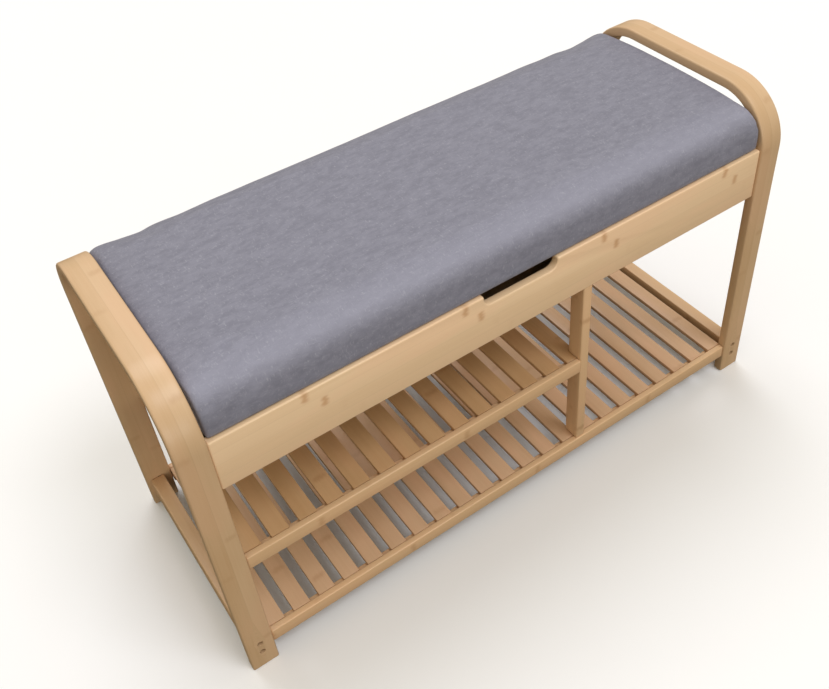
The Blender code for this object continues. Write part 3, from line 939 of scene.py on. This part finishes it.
fit_cover(seat)
finer = seat.modifiers.new("finer", "SUBSURF")
finer.levels = finer.render_levels = 1
seat.data.shade_smooth()
lowest = coordinates(seat.data).min(axis=0)
highest = coordinates(seat.data).max(axis=0)
print("seat cover", [round(float(v), 4) for v in lowest], [round(float(v), 4) for v in highest])

# %% [markdown]
# ## Heather cloth
#
# The cover is a tight plain weave of grey yarn spun with paler and darker fibres.  Close up
# there is the weave; from a step back only short pale flecks and a soft mottling are left.

# %% The cloth group
def build_cloth_group():
    """Masks for heather cloth: pale flecks, soft mottling and the weave."""
    group, given, result = new_group(
        "heather_weave", [("Place", "Vector", None), ("Thread", "Float", 0.0009)],
        [("Fleck", "Float"), ("Mottle", "Float"), ("Weave", "Float")])
    place = given.outputs["Place"]
    fleck = sums(group, "MAXIMUM", drawn_noise(group, place, (150, 520, 520), 3.0, 0.6),
                 drawn_noise(group, place, (480, 210, 210)))
    mottle = drawn_noise(group, place, (60, 130, 130), 5.0, 0.7)
    thread = sums(group, "DIVIDE", math.pi, given.outputs["Thread"])
    parts = add(group, "ShaderNodeSeparateXYZ", {0: place})
    warp = sums(group, "SINE", sums(group, "MULTIPLY", parts.outputs[0], thread))
    rest = sums(group, "ADD", parts.outputs[1], parts.outputs[2])
    weft = sums(group, "SINE", sums(group, "MULTIPLY", rest, thread))
    weave = sums(group, "MULTIPLY_ADD", sums(group, "MULTIPLY", warp, weft), 0.5, 0.5)
    for name, socket in (("Fleck", fleck), ("Mottle", mottle), ("Weave", weave)):
        group.links.new(socket, result.inputs[name])
    return group


cloth_group = build_cloth_group()
print("cloth group:", len(cloth_group.nodes), "nodes")

# %% [markdown]
# A paler band is painted on the cover along its front edge, a painted highlight where the top
# turns down into the front roll.  The rest is the same cloth all over, with a faint sheen.

# %% Heather material
THREAD = 0.0009
HIGHLIGHT_START, HIGHLIGHT_MIDDLE, HIGHLIGHT_END = seat_low.y + 0.004, seat_low.y + 0.020, seat_low.y + 0.075


def cloth_material(name, body, light, dark):
    """Heather cloth with a painted highlight: a paler band along the seat's front edge."""
    material, tree, shader = new_material(name)
    place = add(tree, "ShaderNodeTexCoord").outputs["Object"]
    cloth = place_group(tree, cloth_group, {"Place": place, "Thread": THREAD})
    base = mix_colours(tree, remap(tree, cloth.outputs["Mottle"], 0.32, 0.68, 0.35, 1.0), dark, body)
    depth = add(tree, "ShaderNodeSeparateXYZ", {0: place}).outputs["Y"]
    painted_highlight = sums(tree, "MULTIPLY", remap(tree, depth, HIGHLIGHT_START, HIGHLIGHT_MIDDLE),
                  remap(tree, depth, HIGHLIGHT_END, HIGHLIGHT_MIDDLE))
    # A paler band along the seat's front edge: a painted highlight.
    base = mix_colours(tree, sums(tree, "MULTIPLY", painted_highlight, 0.55), base, tinted(body, 1.32))
    flecked = mix_colours(tree, remap(tree, cloth.outputs["Fleck"], 0.56, 0.82, 0.0, 0.42), base, light)
    woven = mix_colours(tree, sums(tree, "MULTIPLY", cloth.outputs["Weave"], 0.25), flecked, dark)
    tree.links.new(woven, shader.inputs["Base Color"])
    height = sums(tree, "MULTIPLY_ADD", cloth.outputs["Weave"], 0.4, cloth.outputs["Fleck"])
    bump = add(tree, "ShaderNodeBump", {"Height": height, "Strength": 0.45, "Distance": 0.0010})
    tree.links.new(bump.outputs[0], shader.inputs["Normal"])
    shader.inputs["Roughness"].default_value = 0.55
    shader.inputs["Specular IOR Level"].default_value = 0.35
    shader.inputs["Sheen Weight"].default_value = 0.10
    shader.inputs["Sheen Roughness"].default_value = 0.5
    shader.inputs["Sheen Tint"].default_value = linear(225, 225, 240)
    return material


heather = cloth_material("heather_cloth", linear(139, 140, 157), linear(184, 186, 200), linear(114, 115, 131))
dress(seat, heather, "lid", "seat_cushion", slot="seat_fabric")

# %% [markdown]
# ## Plain board, steel and fasteners
#
# The lid board and the box floor are plain plywood that only shows when the lid is up.
# The hinges are zinc plated steel, screwed on with countersunk screws.

# %% Plywood and steel
def plywood_material(name, pale, deep):
    """Plain plywood with a broad wavy figure and fine pores."""
    material, tree, shader = new_material(name)
    place = add(tree, "ShaderNodeTexCoord").outputs["Object"]
    waves = drawn_noise(tree, place, (4, 30, 30), 4.0, distortion=0.8)
    pores = drawn_noise(tree, place, (40, 700, 700))
    share = sums(tree, "MULTIPLY_ADD", pores, 0.4, sums(tree, "MULTIPLY_ADD", waves, 1.2, -0.3), clamp=True)
    tree.links.new(mix_colours(tree, share, deep, pale), shader.inputs["Base Color"])
    bump = add(tree, "ShaderNodeBump", {"Height": pores, "Strength": 0.15, "Distance": 0.0006})
    tree.links.new(bump.outputs[0], shader.inputs["Normal"])
    shader.inputs["Roughness"].default_value = 0.62
    return material


def steel_material(name, colour, roughness):
    """Plated steel with faint spots and worn edges."""
    material, tree, shader = new_material(name)
    place = add(tree, "ShaderNodeTexCoord").outputs["Object"]
    spots = add(tree, "ShaderNodeTexNoise", {"Vector": place, "Scale": 160.0, "Detail": 3.0}).outputs["Fac"]
    edges = place_group(tree, edge_group, {"Width": 0.0006, "Strength": 1.0})
    base = mix_colours(tree, remap(tree, spots, 0.3, 0.7), tinted(colour, 0.92), colour)
    worn = mix_colours(tree, sums(tree, "MULTIPLY", edges.outputs["Mask"], 0.5), base,
                       (0.85, 0.85, 0.83, 1.0))
    tree.links.new(worn, shader.inputs["Base Color"])
    tree.links.new(remap(tree, spots, 0.3, 0.7, roughness - 0.03, roughness + 0.05),
                   shader.inputs["Roughness"])
    shader.inputs["Metallic"].default_value = 1.0
    return material


plywood = plywood_material("plain_plywood", linear(205, 178, 142), linear(176, 146, 108))
zinc = steel_material("zinc_steel", (0.72, 0.72, 0.70, 1.0), 0.34)
dark_steel = steel_material("bolt_steel", (0.10, 0.08, 0.06, 1.0), 0.50)
finishes = {"box_floor": plywood, "lid_board": plywood}
finishes.update((node, zinc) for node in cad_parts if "hinge" in node)
for node, finish in finishes.items():
    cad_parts[node].data.materials.clear()
    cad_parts[node].data.materials.append(finish)
print("plywood or zinc on", sorted(finishes))

# %% [markdown]
# Screws repeat, so one screw head is modelled and a Geometry Nodes tree sets it on a list of
# places.  A screw head is a short turned cone with a cross cut into it, and a bolt head is a
# plain round with a six sided socket.

# %% Screw and bolt heads
def screw_head(name, radius, height):
    """A countersunk head with a cross recess, its face at z = 0 looking up."""
    solid = bmesh.new()
    bmesh.ops.create_cone(solid, cap_ends=True, segments=20, radius1=radius * 0.55, radius2=radius,
                          depth=height, matrix=Matrix.Translation((0, 0, -height / 2)))
    head = solid_object(name, solid)
    slots = [cube_between("slot", (-radius * 0.62, -radius * 0.13, -height * 0.6),
                          (radius * 0.62, radius * 0.13, height)),
             cube_between("slot", (-radius * 0.13, -radius * 0.62, -height * 0.6),
                          (radius * 0.13, radius * 0.62, height))]
    return shaped(head, slots, radius * 0.05, 1)


def bolt_head(name, radius, height):
    """A round bolt head with a six sided socket, its face at z = 0 looking up."""
    solid = bmesh.new()
    bmesh.ops.create_cone(solid, cap_ends=True, segments=24, radius1=radius, radius2=radius,
                          depth=height, matrix=Matrix.Translation((0, 0, -height / 2)))
    head = solid_object(name, solid)
    socket = drill("socket", (0, 0, 0), radius * 0.5, height, "Z", sides=6)
    return shaped(head, [socket], radius * 0.12, 2)


def build_fastener_tree():
    """Set one fastener on every point of a mesh, turned to face along the point's facing attribute."""
    tree = bpy.data.node_groups.new("fasteners", "GeometryNodeTree")
    tree.interface.new_socket("Geometry", in_out="INPUT", socket_type="NodeSocketGeometry")
    tree.interface.new_socket("Geometry", in_out="OUTPUT", socket_type="NodeSocketGeometry")
    names = {"Head": tree_input(tree, "Head", "Object"), "Size": tree_input(tree, "Size", "Float", 1.0),
             "Seed": tree_input(tree, "Seed", "Int", 3), "Finish": tree_input(tree, "Finish", "Material")}
    given = tree.nodes.new("NodeGroupInput")
    result = tree.nodes.new("NodeGroupOutput")
    head = add(tree, "GeometryNodeObjectInfo", {"Object": given.outputs["Head"]})
    facing = add(tree, "GeometryNodeInputNamedAttribute", {"Name": "facing"}, data_type="FLOAT_VECTOR")
    turn = add(tree, "FunctionNodeAlignRotationToVector", {"Vector": facing.outputs["Attribute"]}, axis="Z")
    chance = add(tree, "FunctionNodeRandomValue", {2: 0.0, 3: 6.283, "Seed": given.outputs["Seed"]},
                 data_type="FLOAT")
    spin = add(tree, "FunctionNodeAxisAngleToRotation", {"Axis": (0, 0, 1), "Angle": chance.outputs[1]})
    both = add(tree, "FunctionNodeRotateRotation", {0: turn.outputs[0], 1: spin.outputs[0]},
               rotation_space="LOCAL")
    copies = add(tree, "GeometryNodeInstanceOnPoints", {"Points": given.outputs["Geometry"],
                                                        "Instance": head.outputs["Geometry"],
                                                        "Rotation": both.outputs[0],
                                                        "Scale": given.outputs["Size"]})
    real = add(tree, "GeometryNodeRealizeInstances", {"Geometry": copies.outputs[0]})
    finish = add(tree, "GeometryNodeSetMaterial", {"Geometry": real.outputs[0],
                                                   "Material": given.outputs["Finish"]})
    tree.links.new(finish.outputs[0], result.inputs[0])
    return tree, names


fastener_tree, fastener_names = build_fastener_tree()
print("fastener tree:", len(fastener_tree.nodes), "nodes")

# %% [markdown]
# The hinge screws sit flush in the leaves, half of them on the frame and half on the lid, so
# that each set moves with its own body.  The bolts are sunk deep in their holes in the legs.

# %% Place the fasteners
def fasten(name, head, places, body, finish, seed):
    """One mesh of fasteners from (point, facing) pairs."""
    mesh = bpy.data.meshes.new(name)
    mesh.from_pydata([point for point, _ in places], [], [])
    keep_vectors(mesh, "facing", [facing for _, facing in places])
    made = grown(name, mesh, fastener_tree, fastener_names, Head=head, Size=1.0, Seed=seed, Finish=finish)
    made.data.materials.clear()
    made.data.materials.append(finish)
    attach(made, body)
    print(name, len(places), "pieces,", len(made.data.polygons), "faces")


LEAF_THICK, FLUSH = 0.0012, 0.00005
SCREW_INSET, SCREW_SHIFTS = 0.010, (-0.020, 0.0, 0.020)
BOLT_SUNK, BOLT_PLAY = 0.011, 0.0004
screw = screw_head("screw_head", 0.0032, 0.0016)
frame_screws, lid_screws = [], []
for label in ("left", "right"):
    low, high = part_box(label + "_hinge_frame_leaf")
    middle = (low.x + high.x) / 2
    for shift in SCREW_SHIFTS:
        frame_screws.append(((middle + shift, low.y + LEAF_THICK + FLUSH, low.z + SCREW_INSET), (0, 1, 0)))
    low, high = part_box(label + "_hinge_lid_leaf")
    leaf_under = high.z - LEAF_THICK
    for shift in SCREW_SHIFTS:
        lid_screws.append(((middle + shift, low.y + SCREW_INSET, leaf_under - FLUSH), (0, 0, -1)))
fasten("hinge_screws_frame", screw, frame_screws, "frame", zinc, 5)
fasten("hinge_screws_lid", screw, lid_screws, "lid", zinc, 6)
bpy.data.objects.remove(screw)

bolt = bolt_head("bolt_head", BOLT_RADIUS - BOLT_PLAY, 0.004)
leg_bolts = []
for label in ("left", "right"):
    low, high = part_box(label + "_arch")
    for z in BOLT_HEIGHTS:
        for side in (-1, 1):
            leg_bolts.append((((low.x + high.x) / 2, side * (high.y - BOLT_SUNK), z), (0, side, 0)))
fasten("leg_bolts", bolt, leg_bolts, "frame", dark_steel, 8)
bpy.data.objects.remove(bolt)

# %% [markdown]
# ## Floor, light and camera
#
# A pale floor and a warm even dome of light, with three soft lamps: one high at the front,
# one high at the back that reaches under the box, and a low one that fills the front.
# The shelves fall into warm shade, as they do in a bright room.

# %% Floor and light
def studio_floor():
    """A wide pale floor that throws little light back up at the bench."""
    solid = bmesh.new()
    bmesh.ops.create_circle(solid, cap_ends=True, segments=96, radius=14.0)
    floor = solid_object("studio_floor", solid)
    material, tree, shader = new_material("studio_floor")
    rays = add(tree, "ShaderNodeLightPath")
    colour = mix_colours(tree, rays.outputs["Is Camera Ray"], (0.13, 0.11, 0.08, 1.0),
                         (0.94, 0.955, 0.99, 1.0))
    tree.links.new(colour, shader.inputs["Base Color"])
    shader.inputs["Roughness"].default_value = 0.9
    shader.inputs["Specular IOR Level"].default_value = 0.0
    floor.data.materials.append(material)
    floor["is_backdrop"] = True


def soft_sun(name, towards, strength, width, colour):
    """A far, wide lamp: even all over the floor, with soft-edged shadows."""
    lamp = bpy.data.lights.new(name, "SUN")
    lamp.energy = strength
    lamp.angle = width
    lamp.color = colour
    made = bpy.data.objects.new(name, lamp)
    bpy.context.scene.collection.objects.link(made)
    made.rotation_euler = Vector(towards).to_track_quat("Z", "Y").to_euler()


studio_floor()
soft_sun("window", (0.22, -0.44, 0.87), 0.80, 0.40, (1.0, 1.01, 1.07))
soft_sun("ceiling", (0.10, 0.42, 0.90), 0.95, 0.60, (1.0, 1.01, 1.07))
soft_sun("fill", (-0.10, -0.99, 0.10), 0.66, 0.50, (1.0, 0.99, 0.98))
world = bpy.data.worlds.new("studio")
world.use_nodes = True
world_tree = world.node_tree
seen = add(world_tree, "ShaderNodeLightPath").outputs["Is Camera Ray"]
shade = mix_colours(world_tree, seen, (0.62, 0.57, 0.455, 1.0), (0.98, 0.98, 0.98, 1.0))
world_tree.links.new(shade, world_tree.nodes["Background"].inputs["Color"])
bpy.context.scene.world = world
bpy.context.scene.view_settings.view_transform = "Standard"
print("lamps:", [lamp.name for lamp in bpy.data.lights])

# %% [markdown]
# The camera stands at the front left and looks down on the bench.  Its place and its three
# directions are given as vectors, and the lens is a little longer than a normal one.

# %% Camera
def camera_at(place, right, down, forward, lens, shift_x, shift_y):
    """A camera from its place and its own three directions."""
    data = bpy.data.cameras.new("camera")
    data.sensor_width = 36.0
    data.lens = lens
    data.shift_x, data.shift_y = shift_x, shift_y
    data.clip_start, data.clip_end = 0.05, 60.0
    made = bpy.data.objects.new("camera", data)
    bpy.context.scene.collection.objects.link(made)
    turn = Matrix((right, [-v for v in down], [-v for v in forward])).transposed()
    made.matrix_world = Matrix.Translation(place) @ turn.to_4x4()
    bpy.context.scene.camera = made


camera_at((-0.5439, -0.8550, 1.2141), (0.81908, -0.57022, -0.06291), (-0.42066, -0.52242, -0.74170),
          (0.39006, 0.63398, -0.66777), 42.55, -0.0250, -0.0713)
print("camera lens", bpy.context.scene.camera.data.lens, "mm")

# %% [markdown]
# ## Sizes and finish
#
# The finished bench is meant to fill the same box as the imported model, so its box is
# measured and printed.

# %% Sizes and finish
low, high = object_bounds()
print("visual box", [round(v, 4) for v in low], [round(v, 4) for v in high])
